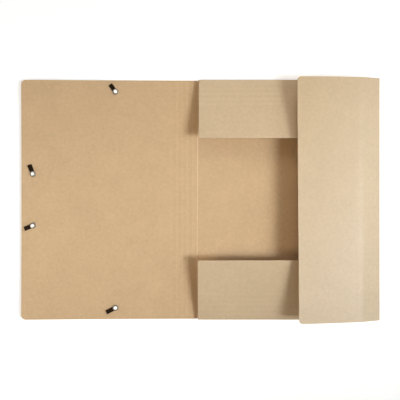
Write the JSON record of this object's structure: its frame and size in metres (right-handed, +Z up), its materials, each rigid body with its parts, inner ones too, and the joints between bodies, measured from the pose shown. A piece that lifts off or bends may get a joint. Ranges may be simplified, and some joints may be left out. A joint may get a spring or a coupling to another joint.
{
  "type": "three-flap folder",
  "caption": "Kraft card document folder lying open: creased spine, side flap and end flaps folded in over the back cover, and corner elastics held by cap rivets on the front cover.",
  "frame": {"origin": "middle of the back cover's outside face, which lies flat on the table", "axes": "+X from the spine towards the side flap, +Y towards the top flap, +Z up out of the inside face"},
  "size_m": [0.4761, 0.3206, 0.0411],
  "materials": {
    "kraft_card": "matte",
    "black_elastic": "matte",
    "nickel": "polished"
  },
  "bodies": {
    "back": {"back_cover": "kraft_card"},
    "spine": {"spine_panel": "kraft_card"},
    "cover": {"front_cover": "kraft_card", "rivet_cap_top": "nickel", "rivet_cap_upper": "nickel", "rivet_cap_lower": "nickel", "rivet_cap_bottom": "nickel", "rivet_post_top": "nickel", "rivet_post_upper": "nickel", "rivet_post_lower": "nickel", "rivet_post_bottom": "nickel", "upper_elastic": "black_elastic", "lower_elastic": "black_elastic"},
    "side_1": {"side_gusset": "kraft_card"},
    "side_2": {"side_shoulder": "kraft_card"},
    "side": {"side_flap": "kraft_card"},
    "top_1": {"top_gusset": "kraft_card"},
    "top": {"top_flap": "kraft_card"},
    "bottom_1": {"bottom_gusset": "kraft_card"},
    "bottom": {"bottom_flap": "kraft_card"}
  },
  "joints": [
    {"name": "spine_crease_1", "type": "hinge", "parent": "back", "child": "spine", "pos_m": [-0.11475, 0, 0.0006], "axis": [0, 1, 0], "range_deg": [-0.25, 88]},
    {"name": "spine_crease_2", "type": "hinge", "parent": "spine", "child": "cover", "pos_m": [-0.1505, 0, 0.00107], "axis": [0, 1, 0], "range_deg": [-0.25, 87]},
    {"name": "side_crease_1", "type": "hinge", "parent": "back", "child": "side_1", "pos_m": [0.11475, 0, 0.0006], "axis": [0, 1, 0], "range_deg": [-2.8, 56]},
    {"name": "side_crease_2", "type": "hinge", "parent": "side_1", "child": "side_2", "pos_m": [0.12577, 0, 0.01693], "axis": [0, 1, 0], "range_deg": [-5, 100]},
    {"name": "side_crease_3", "type": "hinge", "parent": "side_2", "child": "side", "pos_m": [0.09927, 0, 0.02873], "axis": [0, 1, 0], "range_deg": [-0.8, 16]},
    {"name": "top_crease_1", "type": "hinge", "parent": "back", "child": "top_1", "pos_m": [0, 0.1597, 0.0006], "axis": [-1, 0, 0], "range_deg": [-4.5, 90]},
    {"name": "top_crease_2", "type": "hinge", "parent": "top_1", "child": "top", "pos_m": [0, 0.1597, 0.0066], "axis": [-1, 0, 0], "range_deg": [-3.8, 76]},
    {"name": "bottom_crease_1", "type": "hinge", "parent": "back", "child": "bottom_1", "pos_m": [0, -0.1597, 0.0006], "axis": [1, 0, 0], "range_deg": [-4.5, 90]},
    {"name": "bottom_crease_2", "type": "hinge", "parent": "bottom_1", "child": "bottom", "pos_m": [0, -0.1597, 0.0066], "axis": [1, 0, 0], "range_deg": [-3.8, 76]}
  ],
  "couplings": [
    {"joint": "side_crease_1", "follows": "side_crease_2", "ratio": 0.56},
    {"joint": "side_crease_3", "follows": "side_crease_2", "ratio": 0.16},
    {"joint": "top_crease_1", "follows": "side_crease_2", "ratio": 0.9},
    {"joint": "top_crease_2", "follows": "side_crease_2", "ratio": 0.76},
    {"joint": "bottom_crease_1", "follows": "side_crease_2", "ratio": 0.9},
    {"joint": "bottom_crease_2", "follows": "side_crease_2", "ratio": 0.76}
  ]
}
